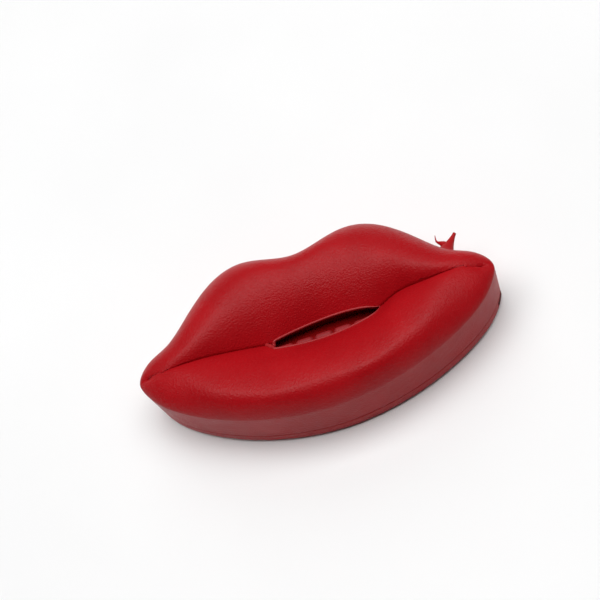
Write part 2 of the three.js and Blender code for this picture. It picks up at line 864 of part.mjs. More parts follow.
function add(name, manifold, look) {
  const mesh = new THREE.Mesh(geometryOf(manifold), look);
  mesh.name = name;
  phone.add(mesh);
}

add("upper_shell", upperShell(), looks.redShell);
add("lower_shell", lowerShell(), looks.redShell);
add("mouth_well", mouthWellSolid(), looks.redTrim);
add("teeth_row", teethSolid(), looks.redTrim);
add("keypad_bezel", bezelSolid(), looks.redTrim);
add("keypad_membrane", membraneSolid(), looks.greyRubber);
keyNames.forEach((label, number) => {
  const [x, y] = keyPlaces[number];
  add(`key_${label}`, keySolid(x, y, keySize.along, keySize.across), looks.ivory);
});
for (const [name, [x, y]] of Object.entries(functionKeys)) {
  add(name, keySolid(x, y, functionKeySize.along, functionKeySize.across), looks.ivory);
}
add("earpiece_cap", soundCap(earpiece, 15, earpieceHoles, 1.3), looks.redTrim);
add("earpiece_gasket", ringSolid(earpiece, 12.5, 15.2, floorTop + 0.3, 6.2, 24), looks.foam);
add("receiver_capsule", receiverSolid(), looks.blackPlastic);
add("mouthpiece_cap", soundCap(mouthpiece, 6.7, mouthpieceHoles, 1.1), looks.redTrim);
add("microphone_boot", ringSolid(mouthpiece, 5, 7, floorTop + 0.3, 10.5, 20), looks.rubber);
add("microphone_capsule", post(mouthpiece.x, mouthpiece.y, 4.7, 5.4, 11, 20), looks.steel);
add("hook_plunger", plungerSolid(), looks.ivory);
add("hook_spring", springSolid(), looks.steel);
add("hook_bracket", bracketSolid(), looks.blackPlastic);
add("hook_switch", hookSwitchSolid(), looks.blackPlastic);
add("mode_switch_body", modeSwitchBody(), looks.steel);
add("mode_switch_knob", modeKnob(), looks.blackPlastic);
add("ringer_switch_body", ringerSwitchBody(), looks.steel);
add("ringer_switch_knob", ringerKnob(), looks.blackPlastic);
add("main_board", boardSolid(), looks.board);
add("dialler_chip", chipSolid(), looks.blackPlastic);
add("line_transformer", transformerSolid(), looks.steel);
add("smoothing_capacitor", capacitorSolid(), looks.blueSleeve);
add("line_terminal", terminalSolid(), looks.ivory);
add("ringer_cup", ringerCupSolid(), looks.blackPlastic);
add("ringer_disc", ringerDiscSolid(), looks.brass);
add("receiver_lead", receiverLead(), looks.rubber);
add("microphone_lead", microphoneLead(), looks.rubber);
add("cord_gland", glandSolid(), looks.redShell);
caseScrews.forEach((place, i) => add(`case_screw_${i + 1}`, caseScrewSolid(place), looks.steel));
wellScrews.forEach((place, i) => add(`well_screw_${i + 1}`, wellScrewSolid(place), looks.steel));
boardScrews.forEach((place, i) => add(`board_screw_${i + 1}`, boardScrewSolid(place), looks.steel));
feet.forEach((place, i) => add(`foot_${i + 1}`, footSolid(place), looks.rubber));

export default phone;
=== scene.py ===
from math import atan2, cos, pi, radians, sin

import bmesh
import bpy
import numpy as np
from mathutils import Matrix, Vector


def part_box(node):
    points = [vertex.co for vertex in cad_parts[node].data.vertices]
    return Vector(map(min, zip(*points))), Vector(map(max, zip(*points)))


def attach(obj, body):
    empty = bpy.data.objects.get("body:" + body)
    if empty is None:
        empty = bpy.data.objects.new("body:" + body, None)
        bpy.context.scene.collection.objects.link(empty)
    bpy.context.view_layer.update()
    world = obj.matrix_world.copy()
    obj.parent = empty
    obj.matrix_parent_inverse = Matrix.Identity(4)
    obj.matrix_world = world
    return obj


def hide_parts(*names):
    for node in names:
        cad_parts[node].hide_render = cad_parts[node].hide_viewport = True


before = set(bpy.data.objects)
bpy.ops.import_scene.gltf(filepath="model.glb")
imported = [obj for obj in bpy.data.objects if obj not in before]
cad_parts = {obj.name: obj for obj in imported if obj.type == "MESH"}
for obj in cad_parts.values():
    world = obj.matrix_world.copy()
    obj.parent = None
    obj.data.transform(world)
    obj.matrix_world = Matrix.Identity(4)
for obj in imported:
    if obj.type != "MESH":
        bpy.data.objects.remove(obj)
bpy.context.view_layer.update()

# A one-piece telephone in the shape of a pair of lips. It stands on its underside, which carries the
# keypad, earpiece, mouthpiece and hook plunger. Lengths in this script are millimetres in the CAD
# frame, +Z up and +Y towards the upper lip, and become metres where a mesh is made.

MM = 0.001
BODY = "phone"


def node_box(node):
    """A CAD node's lowest and highest corner, in millimetres."""
    low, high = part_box(node)
    return np.array(low) / MM, np.array(high) / MM


def node_middle(node):
    low, high = node_box(node)
    return (low + high) / 2


# ---------------------------------------------------------------- dimensions

_, shell_high = node_box("upper_shell")
HALF_LENGTH = shell_high[0]
CREST_Z = shell_high[2]
LOWER_DEPTH = 52.4  # the lower lip's reach from the line of the mouth's corners
UPPER_PEAK = 57.4  # the upper lip's reach from the same line
CORNER_Y = -(UPPER_PEAK - LOWER_DEPTH) / 2  # Y of the mouth's corners
RIM_Z = 37.0  # top of the casing's upright wall
TIP_HEIGHT = 3.0  # the corners' height over the rim
WALL = 2.4
SEAM_LOW = node_box("lower_shell")[0][2] + 8.35  # top of the lower casing
SEAM_HIGH = SEAM_LOW + 0.3  # bottom of the upper casing
FOOT_Z = 2.0  # underside of the lower casing, which stands on its feet
FLOOR_Z = 4.5  # inner face of the lower casing's floor
MOUTH_SHARE = 0.93  # the mouth line's reach as a share of the half length
LOWER_TAPER = 0.935  # how far the lower lip narrows at the corners
TIP_SQUARENESS = 26  # how late the corners round off

# Smooth lines through (share of the half length, value) points.
UPPER_RIM = [(0, 50.1), (0.3, 57.4), (0.5, 50.9), (0.65, 36.4), (0.8, 19.9), (0.92, 13.6), (1, 8.4)]
# The mouth line isn't symmetric, so its shares run from -1 at the left corner to 1 at the right.
MOUTH_Y = [(-1, 0), (-0.9, -0.9), (-0.7, -0.2), (-0.5, 1.2), (-0.38, 1.4), (-0.26, 0.4), (0, -1.8)]
MOUTH_Y += [(0.25, -2.2), (0.38, -0.8), (0.46, 1.7), (0.54, 2.9), (0.65, 1.9), (0.82, 1.2)]
MOUTH_Y += [(0.93, 1.1), (1, 0)]
MOUTH_Z = [(0, 28), (0.25, 31.5), (0.4, 35), (0.5, 38.5), (0.6, 42.3), (0.75, 46.2)]
MOUTH_Z += [(0.85, 46.6), (0.92, 45.2), (0.97, 42.9), (1, 40)]
UPPER_CREST = [(0, 0.29), (0.2, 0.31), (0.4, 0.46), (0.6, 0.64), (0.8, 0.78), (1, 0.9)]
LOWER_CREST = [(0, 0.26), (0.3, 0.235), (0.47, 0.3), (0.62, 0.42), (0.78, 0.76), (1, 0.95)]
CREST_ROUNDNESS = 0.72  # under 1, the lips swell up quickly from the rim
TIP_FALL = 5  # how late the crest comes down towards the corners

# The slit between the lips: blunt at its left end and pointed at its right.
SLIT = {"left": -26.3, "right": 41.0, "widest": 8.0, "half_width": 6.0, "y": -2.1, "left_reach": 42.0}
GLAND = {"x": 85.4, "y": 21.8 + CORNER_Y, "z": 28.0, "turn": atan2(0.777, 0.63), "reach": 15.8}
GLAND_HOLE = 3.7  # radius of the hole for the gland's neck
RINGER = {"y": -2.1 + CORNER_Y, "z": 6.0, "half_width": 7.6, "half_height": 2.6}  # the switch's window
TRAY = {"x": 5.0, "y": -1.0 + CORNER_Y, "length": 75, "width": 21, "corner": 7, "top": 31.4}
TOOTH = {"pitch": 12.0, "width": 11.6, "corner": 2.9, "dome": 2.6}

# ---------------------------------------------------------------- mesh helpers


def cubic(points):
    """A smooth line through (place, value) points, level at the first of them."""
    place, value = np.array(points, float).T
    step, count = np.diff(place), len(place)
    slope = np.diff(value) / step
    system, right = np.zeros((count, count)), np.zeros(count)
    system[0, :2], right[0] = (2 * step[0], step[0]), 6 * slope[0]
    system[-1, -1] = 1
    for i in range(1, count - 1):
        system[i, i - 1 : i + 2] = step[i - 1], 2 * (step[i - 1] + step[i]), step[i]
        right[i] = 6 * (slope[i] - slope[i - 1])
    bend = np.linalg.solve(system, right)

    def at(where):
        i = np.clip(np.searchsorted(place, where) - 1, 0, count - 2)
        after, before, h = place[i + 1] - where, where - place[i], step[i]
        curved = (bend[i] * after**3 + bend[i + 1] * before**3) / (6 * h)
        lower = (value[i] / h - bend[i] * h / 6) * after
        return curved + lower + (value[i + 1] / h - bend[i + 1] * h / 6) * before

    return at


def smoothstep(low, high, value):
    t = np.clip((value - low) / (high - low), 0, 1)
    return t * t * (3 - 2 * t)


def make_object(name, points, faces, sharp=35, flat=False):
    """A mesh object from points in millimetres, welded, with its normals facing out."""
    mesh = bpy.data.meshes.new(name)
    mesh.from_pydata([tuple(np.asarray(p, float) * MM) for p in points], [], faces)
    piece = bpy.data.objects.new(name, mesh)
    bpy.context.scene.collection.objects.link(piece)
    clean(piece, sharp, flat)
    return piece


def clean(piece, sharp=35, flat=False):
    work = bmesh.new()
    work.from_mesh(piece.data)
    bmesh.ops.remove_doubles(work, verts=work.verts, dist=1e-6)
    bmesh.ops.dissolve_degenerate(work, edges=work.edges, dist=1e-7)
    bmesh.ops.recalc_face_normals(work, faces=work.faces)
    work.to_mesh(piece.data)
    work.free()
    for face in piece.data.polygons:
        face.use_smooth = not flat
    piece.data.set_sharp_from_angle(angle=radians(sharp))


def loft(name, rows, sharp=35, ring=False, caps=True):
    """A skin through rows of points, each row a closed loop. ring joins the last row to the first."""
    count = len(rows[0])
    faces = []
    for row in range(len(rows) if ring else len(rows) - 1):
        here, above = row * count, (row + 1) % len(rows) * count
        for i in range(count):
            j = (i + 1) % count
            faces.append((here + i, here + j, above + j, above + i))
    if caps and not ring:
        faces.append(tuple(range(count))[::-1])
        faces.append(tuple(range((len(rows) - 1) * count, len(rows) * count)))
    return make_object(name, [p for row in rows for p in row], faces, sharp)


def rounded(corners, radius, steps=4, closed=False):
    """A line of 2-D points with its corners rounded by arcs of up to that radius."""
    corners = [np.array(c, float) for c in corners]
    count = len(corners)
    out = []
    for i, corner in enumerate(corners):
        if not closed and i in (0, count - 1):
            out.append(corner)
            continue
        back, on = corners[i - 1] - corner, corners[(i + 1) % count] - corner
        reach = min(radius, 0.49 * np.linalg.norm(back), 0.49 * np.linalg.norm(on))
        start = corner + back / np.linalg.norm(back) * reach
        end = corner + on / np.linalg.norm(on) * reach
        for k in range(steps + 1):
            t = k / steps
            out.append(start * (1 - t) ** 2 + corner * 2 * t * (1 - t) + end * t**2)
    return out


def turned(name, profile, origin=(0, 0, 0), axis=(0, 0, 1), sides=64, sharp=35, ring=False):
    """A body turned about an axis from (radius, height) points."""
    turn = Vector(axis).to_track_quat("Z", "Y").to_matrix()
    angles = [2 * pi * i / sides for i in range(sides)]
    rows = []
    for radius, height in profile:
        loop = [Vector((max(radius, 0) * cos(a), max(radius, 0) * sin(a), height)) for a in angles]
        rows.append([np.array(turn @ p) + np.array(origin, float) for p in loop])
    return loft(name, rows, sharp, ring, caps=profile[0][0] > 0)


def rectangle(x, y, length, width, radius, steps=6):
    """A rounded rectangle's outline, anticlockwise."""
    radius = min(radius, length / 2 - 0.01, width / 2 - 0.01)
    out = []
    for turn, (sx, sy) in enumerate([(1, 1), (-1, 1), (-1, -1), (1, -1)]):
        corner = (x + sx * (length / 2 - radius), y + sy * (width / 2 - radius))
        for k in range(steps + 1):
            angle = (turn + k / steps) * pi / 2
            out.append((corner[0] + radius * cos(angle), corner[1] + radius * sin(angle)))
    return out


def slab(name, x, y, length, width, radius, profile, sharp=35, ring=False):
    """A rounded block whose side follows (inset, height) points."""
    rows = []
    for inset, z in profile:
        outline = rectangle(x, y, length - 2 * inset, width - 2 * inset, max(radius - inset, 0.1))
        rows.append([(px, py, z) for px, py in outline])
    return loft(name, rows, sharp, ring)


def block(name, low, high, edge=0.3, radius=0.5):
    """A box with rounded edges between two corners."""
    x, y = (low[0] + high[0]) / 2, (low[1] + high[1]) / 2
    profile = rounded([(edge * 3, low[2]), (0, low[2]), (0, high[2]), (edge * 3, high[2])], edge)
    return slab(name, x, y, high[0] - low[0], high[1] - low[1], radius, profile)


def join(name, *pieces):
    """One object from several, with the first one's materials."""
    work = bmesh.new()
    for piece in pieces:
        piece.data.transform(piece.matrix_world)
        work.from_mesh(piece.data)
    mesh = bpy.data.meshes.new(name)
    work.to_mesh(mesh)
    work.free()
    for piece in pieces:
        bpy.data.objects.remove(piece)
    joined = bpy.data.objects.new(name, mesh)
    bpy.context.scene.collection.objects.link(joined)
    return joined


def boolean(piece, operation, *others, sharp=35):
    """Cuts the others out of the piece, or keeps what lies in them."""
    name = piece.name
    tool = join(name + "_tool", *others)
    modifier = piece.modifiers.new("boolean", "BOOLEAN")
    modifier.operation = operation
    modifier.solver = "EXACT"
    modifier.use_self = True
    modifier.object = tool
    graph = bpy.context.evaluated_depsgraph_get()
    mesh = bpy.data.meshes.new_from_object(piece.evaluated_get(graph))
    piece.modifiers.clear()
    piece.data = mesh
    bpy.data.objects.remove(tool)
    clean(piece, sharp)
    return piece


def cut(piece, *others, sharp=35):
    return boolean(piece, "DIFFERENCE", *others, sharp=sharp)


def post(x, y, radius, low, high, sides=32):
    return turned("post", [(radius, low), (radius, high)], (x, y, 0), sides=sides)


def finish_piece(piece, material, slot, *nodes, body=BODY):
    """Gives a piece its material and its body, and hides the CAD nodes it stands for."""
    piece.data.materials.clear()
    piece.data.materials.append(material)
    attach(piece, body)
    if nodes:
        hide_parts(*nodes)
    return piece


# ---------------------------------------------------------------- materials


class Look:
    """A procedural material on one Principled shader."""

    def __init__(self, name, roughness=0.5, metallic=0.0):
        self.material = bpy.data.materials.new(name)
        self.material.use_nodes = True
        self.nodes = self.material.node_tree.nodes
        self.links = self.material.node_tree.links
        self.shader = self.nodes["Principled BSDF"]
        self.shader.inputs["Roughness"].default_value = roughness
        self.shader.inputs["Metallic"].default_value = metallic
        self.place = self.nodes.new("ShaderNodeTexCoord").outputs["Object"]

    def node(self, kind, **values):
        made = self.nodes.new(kind)
        for key, value in values.items():
            if hasattr(made, key):
                setattr(made, key, value)
            else:
                made.inputs[key.replace("_", " ")].default_value = value
        return made

    def noise(self, size, detail=3.0, roughness=0.55):
        """Noise whose features are about size millimetres."""
        made = self.node("ShaderNodeTexNoise", Scale=1 / (size * MM), Detail=detail)
        made.inputs["Roughness"].default_value = roughness
        self.links.new(self.place, made.inputs["Vector"])
        return made.outputs["Fac"]

    def cells(self, size, feature="F1", smoothness=None):
        made = self.node("ShaderNodeTexVoronoi", Scale=1 / (size * MM))
        made.feature = feature
        if smoothness is not None:
            made.inputs["Smoothness"].default_value = smoothness
        self.links.new(self.place, made.inputs["Vector"])
        return made.outputs["Distance"]

    def ramp(self, value, low, high, dark, bright):
        """Maps value from low..high to dark..bright, numbers or colours."""
        is_colour = isinstance(dark, tuple)
        made = self.nodes.new("ShaderNodeMapRange")
        made.inputs["From Min"].default_value = low
        made.inputs["From Max"].default_value = high
        self.links.new(value, made.inputs["Value"])
        if not is_colour:
            made.inputs["To Min"].default_value = dark
            made.inputs["To Max"].default_value = bright
            return made.outputs["Result"]
        mix = self.nodes.new("ShaderNodeMix")
        mix.data_type = "RGBA"
        mix.inputs["A"].default_value = (*dark, 1)
        mix.inputs["B"].default_value = (*bright, 1)
        self.links.new(made.outputs["Result"], mix.inputs["Factor"])
        return mix.outputs["Result"]

    def colour(self, value, low, high, dark, bright):
        self.links.new(self.ramp(value, low, high, dark, bright), self.shader.inputs["Base Color"])

    def rough(self, value, low, high, dark, bright):
        self.links.new(self.ramp(value, low, high, dark, bright), self.shader.inputs["Roughness"])

    def bump(self, value, depth, strength=1.0):
        """Adds a relief of that depth in millimetres."""
        made = self.node("ShaderNodeBump", Strength=strength, Distance=depth * MM)
        self.links.new(value, made.inputs["Height"])
        normal = self.shader.inputs["Normal"]
        if normal.is_linked:
            self.links.new(normal.links[0].from_socket, made.inputs["Normal"])
        self.links.new(made.outputs["Normal"], normal)


def moulded(name, dark, bright, roughness, grain=0.9, depth=0.05, gloss=0.5):
    """Moulded plastic with a fine pebbled grain, slightly uneven in colour and gloss."""
    look = Look(name, roughness)
    look.colour(look.noise(28, 4), 0.35, 0.65, dark, bright)
    look.rough(look.noise(9, 5), 0.3, 0.7, roughness - 0.04, roughness + 0.05)
    look.bump(look.noise(16, 2), 0.12, 0.3)
    look.bump(look.cells(grain, "SMOOTH_F1", 0.6), depth)
    look.bump(look.noise(grain * 0.6, 1), depth * 0.8)
    look.shader.inputs["Specular IOR Level"].default_value = gloss
    return look.material


def rubber(name, dark, bright, roughness=0.75):
    look = Look(name, roughness)
    look.colour(look.noise(5, 4), 0.35, 0.65, dark, bright)
    look.rough(look.noise(2, 3), 0.3, 0.7, roughness - 0.08, roughness + 0.1)
    look.bump(look.noise(0.35, 2), 0.03)
    return look.material


def metal(name, dark, bright, roughness=0.35):
    look = Look(name, roughness, 1.0)
    look.colour(look.noise(6, 4), 0.3, 0.7, dark, bright)
    look.rough(look.noise(1.6, 4), 0.3, 0.7, roughness - 0.08, roughness + 0.12)
    look.bump(look.noise(0.5, 3), 0.01)
    return look.material


red_shell = moulded(
    "red_shell", (0.355, 0.0030, 0.0062), (0.395, 0.0040, 0.0076), 0.37, 1.0, 0.2, gloss=0.16
)
# The well is a darker red than the shell: painted shade for the inside of the slit.
red_mouth_painted_shade = moulded(
    "red_mouth_painted_shade", (0.26, 0.0014, 0.0018), (0.31, 0.0018, 0.0024), 0.6, 0.9, 0.04, gloss=0.05
)
# The teeth's red is paler and pinker than the shell's: a painted sheen standing in for the light on
# their tops.
red_teeth_painted_sheen = moulded("red_teeth_painted_sheen", (0.25, 0.015, 0.018), (0.30, 0.020, 0.023), 0.45, 0.9, 0.05, gloss=0.2)
# The bead's red is paler and pinker than the shell's: a painted highlight standing in for the light
# caught along the slit's rolled edge.
red_rim_painted_highlight = moulded("red_rim_painted_highlight", (0.33, 0.014, 0.017), (0.37, 0.019, 0.022), 0.42, 0.9, 0.03, gloss=0.3)
red_trim = moulded(
    "red_trim", (0.30, 0.0040, 0.0065), (0.34, 0.0050, 0.008), 0.42, 0.7, 0.03, gloss=0.2
)
red_knob = moulded(
    "red_knob", (0.08, 0.002, 0.0025), (0.105, 0.0026, 0.003), 0.45, 0.7, 0.02, gloss=0.15
)
red_gland = moulded(
    "red_gland", (0.34, 0.0050, 0.0075), (0.38, 0.0060, 0.009), 0.45, 0.6, 0.02, gloss=0.2
)
ivory = moulded("ivory_plastic", (0.70, 0.62, 0.47), (0.77, 0.70, 0.56), 0.32, 0.5, 0.01)
black = moulded("black_plastic", (0.014, 0.014, 0.016), (0.024, 0.024, 0.026), 0.45, 0.5, 0.02)
legend_ink = rubber("legend_ink", (0.012, 0.012, 0.014), (0.02, 0.02, 0.022), 0.5)
black_rubber = rubber("black_rubber", (0.012, 0.012, 0.013), (0.022, 0.022, 0.023))
grey_rubber = rubber("grey_rubber", (0.22, 0.23, 0.24), (0.28, 0.29, 0.3))
foam = rubber("foam", (0.02, 0.02, 0.022), (0.05, 0.05, 0.055), 0.9)
steel = metal("plated_steel", (0.5, 0.51, 0.53), (0.62, 0.63, 0.65))
dark_steel = metal("laminated_steel", (0.16, 0.16, 0.17), (0.26, 0.26, 0.27), 0.45)
brass = metal("brass", (0.62, 0.44, 0.16), (0.74, 0.55, 0.24), 0.3)
blue_sleeve = moulded("blue_sleeve", (0.02, 0.04, 0.14), (0.03, 0.06, 0.18), 0.35, 0.4, 0.005)
green_board = moulded("green_board", (0.02, 0.11, 0.045), (0.03, 0.15, 0.06), 0.4, 1.2, 0.01)

# ---------------------------------------------------------------- the shape of the lips

STATIONS = 220  # columns of mesh along each lip

upper_rim, mouth_y, mouth_z = cubic(UPPER_RIM), cubic(MOUTH_Y), cubic(MOUTH_Z)
upper_crest, lower_crest = cubic(UPPER_CREST), cubic(LOWER_CREST)


def rim_line(share, is_upper):
    """Y of the rim, from the mouth's corners."""
    lower = -LOWER_DEPTH * (1 - LOWER_TAPER * share**1.9) ** 0.72
    closing = np.sqrt(np.clip(1 - share**TIP_SQUARENESS, 0, 1))
    return np.where(is_upper, upper_rim(share), lower) * closing


def crest_place(share, is_upper):
    """Where a lip is highest, as a share of the way from the rim to the mouth line."""
    return np.where(is_upper, upper_crest(share), lower_crest(share))


def lip_height(share, place, part):
    """Height of the lips, part of the way from the rim to the mouth line."""
    tip = RIM_Z + TIP_HEIGHT
    crest = tip + (CREST_Z - tip) * (1 - share**TIP_FALL) ** 0.75
    rise = (1 - (1 - np.minimum(part / place, 1)) ** 2) ** CREST_ROUNDNESS
    fall = np.maximum(0, (part - place) / (1 - place)) ** 2
    dip = (crest - mouth_z(share)) * smoothstep(0.93, 0.82, share)
    return RIM_Z + (crest - RIM_Z) * rise - dip * fall


angle = np.arange(2 * STATIONS) * pi / STATIONS
along = np.cos(angle)
share = np.abs(along)
is_upper = np.arange(2 * STATIONS) < STATIONS
rim_x, rim_y = HALF_LENGTH * along, rim_line(share, is_upper)
line_x, line_y = MOUTH_SHARE * HALF_LENGTH * along, mouth_y(along)
place = crest_place(share, is_upper)
column = np.hypot(line_x - rim_x, line_y - rim_y)


def inset_outline(inset):
    """The rim's outline moved inwards, square to itself."""
    dx = np.roll(rim_x, -1) - np.roll(rim_x, 1)
    dy = np.roll(rim_y, -1) - np.roll(rim_y, 1)
    length = np.hypot(dx, dy)
    return rim_x - dy / length * inset, rim_y + dx / length * inset


def lip_row(part, inset=0.0, sink=0.0):
    """The skin part of the way from the rim to the mouth line."""
    x, y = inset_outline(inset)
    z = lip_height(share, place, part) - sink
    return np.stack([x + (line_x - x) * part, y + (line_y - y) * part + CORNER_Y, z], 1)


def level_row(inset, z):
    """The casing's outline at one height."""
    x, y = inset_outline(inset)
    return np.stack([x, y + CORNER_Y, np.full_like(x, z)], 1)


def to_part(step):
    """Steps 0 to 1 reach the crest halfway, in every column alike."""
    return np.where(step < 0.5, place * (2 * step) ** 1.7, place + (1 - place) * (2 * step - 1))


def crease_rows():
    """The last millimetre of the lips, which rolls down into the crease and fades at the corners."""
    fade = smoothstep(0.91, 0.79, share)
    rows = []
    for distance, drop in ((0.95, 0.0), (0.55, 0.14), (0.25, 0.5), (0.0, 1.3)):
        rows.append(lip_row(1 - np.minimum(distance / column, 0.02 + distance * 0.2), 0, drop * fade))
    return rows


def slit_reach(x):
    """Half the slit's width at x."""
    left = np.clip((SLIT["widest"] - x) / SLIT["left_reach"], 0, 1)
    right = np.clip((x - SLIT["widest"]) / (SLIT["right"] - SLIT["widest"]), 0, 1)
    blunt = np.sqrt(1 - np.clip((SLIT["left"] + 1.6 - x) / 1.6, 0, 1) ** 2)
    return SLIT["half_width"] * (1 - left**2) ** 0.5 * (1 - right**2) ** 0.6 * blunt


def slit_middle(x):
    """The middle of the slit, which bends into the mouth line near its pointed end."""
    bend = smoothstep(SLIT["right"] - 5, SLIT["right"] + 2.5, x)
    return SLIT["y"] + (mouth_y(x / (MOUTH_SHARE * HALF_LENGTH)) - SLIT["y"]) * bend


def surface(x, y, on_upper):
    """Height of the lips over a place, Y from the mouth's corners."""
    part = np.full_like(x, 0.8)
    for _ in range(12):
        at = x / (HALF_LENGTH * (1 - (1 - MOUTH_SHARE) * part))
        edge = rim_line(np.abs(at), on_upper)
        part = np.clip((y - edge) / (mouth_y(at) - edge), 0, 1)
    at = np.abs(at)
    return lip_height(at, crest_place(at, on_upper), part)


def slit_outline(count=120):
    """The slit's outline as points on the lips, anticlockwise from its right end."""
    turn = np.arange(2 * count) * pi / count
    middle, half = (SLIT["left"] + SLIT["right"]) / 2, (SLIT["right"] - SLIT["left"]) / 2
    x = middle + half * np.cos(turn)
    on_upper = turn < pi
    y = slit_middle(x) + np.where(on_upper, 1, -1) * slit_reach(x)
    return np.stack([x, y + CORNER_Y, surface(x, y, on_upper)], 1)


def tube(name, points, radii, sides=12, closed=False, sharp=60):
    """A round skin along a line of points, with its own radius at each."""
    points, radii = np.array(points, float), np.array(radii, float)
    ahead = np.roll(points, -1, 0) - np.roll(points, 1, 0)
    if not closed:
        ahead[0], ahead[-1] = points[1] - points[0], points[-1] - points[-2]
    ahead /= np.linalg.norm(ahead, axis=1)[:, None]
    side = np.cross(ahead, (0, 0, 1))
    side /= np.linalg.norm(side, axis=1)[:, None]
    up = np.cross(side, ahead)
    rows = []
    for i, point in enumerate(points):
        turns = [2 * pi * k / sides for k in range(sides)]
        rows.append([point + radii[i] * (side[i] * cos(t) + up[i] * sin(t)) for t in turns])
    return loft(name, rows, sharp, ring=closed)


def slit_bead():
    """The rolled edge of the lips around the slit, with a small moulding nub at its blunt end."""
    outline = slit_outline()
    x = outline[:, 0]
    at_end = smoothstep(SLIT["left"] + 2.5, SLIT["left"], x)
    radii = (0.72 + 0.35 * at_end) * (0.3 + 0.7 * smoothstep(SLIT["right"], SLIT["right"] - 10, x))
    outline[:, 2] += 0.25 - 0.35 * radii
    nub_x = SLIT["left"] - 4.4 + np.arange(5)
    nub_y = np.array([0.9, 0.2, -0.9, -2.2, -3.6])
    nub_z = surface(nub_x, nub_y, np.full(5, False)) + 0.1
    route = np.stack([nub_x, nub_y + CORNER_Y, nub_z], 1)
    nub = tube("nub", route, [0.8, 1.45, 1.0, 1.5, 1.0])
    return join("slit_bead", tube("bead", outline, radii, 14, closed=True), nub)


def lips_shell():
    """The upper casing: wall and both lips, which meet along the mouth line, and the lining inside."""
    rows = [level_row(0.3, SEAM_HIGH), level_row(0.08, SEAM_HIGH + 0.08), level_row(0, SEAM_HIGH + 0.3)]
    rows += [level_row(0, z) for z in np.linspace(SEAM_HIGH + 1.5, RIM_Z - 1, 12)]
    rows += [lip_row(to_part(step)) for step in np.linspace(0, 0.97, 66)]
    skin = rows + crease_rows()

    sink = WALL * 1.15
    tongue_low = SEAM_LOW - 2
    lining = [lip_row(to_part(step), WALL, sink) for step in np.linspace(1, 0, 22)]
    lining += [level_row(WALL, SEAM_HIGH + 2), level_row(WALL + 1.5, SEAM_HIGH + 2)]
    lining += [level_row(WALL + 1.5, tongue_low), level_row(WALL + 0.3, tongue_low)]
    lining += [level_row(WALL + 0.3, SEAM_HIGH), level_row(WALL - 0.3, SEAM_HIGH), skin[0]]

    count = 2 * STATIONS
    faces = []
    for first, rows in ((0, skin), (len(skin), lining)):
        for row in range(len(rows) - 1):
            here, above = (first + row) * count, (first + row + 1) * count
            for i in range(count):
                j = (i + 1) % count
                faces.append((here + i, here + j, above + j, above + i))
    return make_object("lips_shell", np.concatenate(skin + lining), faces, sharp=50)


def upright(name, outline, low, high):
    """A prism over an outline."""
    return loft(name, [[(x, y, z) for x, y, _ in outline] for z in (low, high)])


def gland_hole():
    origin = (GLAND["x"], GLAND["y"], GLAND["z"])
    axis = (cos(GLAND["turn"]), sin(GLAND["turn"]), 0)
    return turned("gland_hole", [(GLAND_HOLE, -12), (GLAND_HOLE, 12)], origin, axis, 48)


def ringer_hole():
    y, z, width, height = RINGER["y"], RINGER["z"], RINGER["half_width"], RINGER["half_height"]
    low = (HALF_LENGTH - 10, y - width, z - height)
    return block("ringer_hole", low, (HALF_LENGTH + 10, y + width, z + height))


upper = cut(lips_shell(), upright("slit", slit_outline(), 18, 60), gland_hole(), ringer_hole(), sharp=50)
finish_piece(upper, red_shell, "shell_red", "upper_shell")
finish_piece(slit_bead(), red_rim_painted_highlight, "shell_red")


def lower_casing():
    """The lower casing up to the seam, with a rounded edge round its underside."""
    bevel = 1.6
    rows = [level_row(bevel + 0.9, FOOT_Z), level_row(bevel, FOOT_Z)]
    for k in range(1, 9):
        turn = k / 8 * pi / 2
        rows.append(level_row(bevel * (1 - sin(turn)), FOOT_Z + bevel * 1.2 * (1 - cos(turn))))
    rows += [level_row(0, z) for z in np.linspace(5, SEAM_LOW - 0.3, 5)]
    rows += [level_row(0.08, SEAM_LOW - 0.08), level_row(0.3, SEAM_LOW), level_row(WALL, SEAM_LOW)]
    rows += [level_row(WALL, FLOOR_Z + 0.6), level_row(WALL + 0.6, FLOOR_Z)]
    return loft("lower_casing", rows, sharp=40)


CASE_SCREWS = [f"case_screw_{i}" for i in range(1, 5)]
FEET = [f"foot_{i}" for i in range(1, 5)]


def seat_profile(depth, lead=0.4):
    """A recess from below with a broken edge, as (radius or inset change, height) points."""
    return [(lead, 1), (lead, FOOT_Z), (0, FOOT_Z + lead), (0, depth)]


def casing_cutters():
    """The seats of the keypad, caps, plunger, mode switch, screws and feet, and the ringer's window."""
    cutters = [ringer_hole()]
    x, y, _ = node_middle("keypad_bezel")
    seat = [(-change, z) for change, z in seat_profile(9)]
    cutters.append(slab("seat", x, y, 84.6, 50.6, 4.2, seat))
    for node, spigot in (("earpiece_cap", 15.4), ("mouthpiece_cap", 7)):
        x, y, _ = node_middle(node)
        radius = (node_box(node)[1][0] - node_box(node)[0][0]) / 2 + 0.3
        seat = [(radius + change, z) for change, z in seat_profile(3.6)]
        cutters.append(turned("seat", seat, (x, y, 0), sides=96))
        cutters.append(post(x, y, spigot, 3, 6, 64))
    for node, length, width, radius in (("hook_plunger", 10, 18, 1.5), ("mode_switch_body", 9, 4, 0.6)):
        x, y, _ = node_middle(node)
        seat = [(-change, z) for change, z in seat_profile(6)]
        cutters.append(slab(node + "_hole", x, y, length, width, radius, seat))
    for nodes, radius, depth in ((CASE_SCREWS, 3.3, 6), (FEET, 5.3, 2.8)):
        for node in nodes:
            x, y, _ = node_middle(node)
            seat = [(radius + change, z) for change, z in seat_profile(depth, 0.25)]
            cutters.append(turned("seat", seat, (x, y, 0), sides=40))
    return cutters


casing = cut(lower_casing(), *casing_cutters(), sharp=40)
finish_piece(casing, red_shell, "shell_red", "lower_shell")

# ---------------------------------------------------------------- the mouth


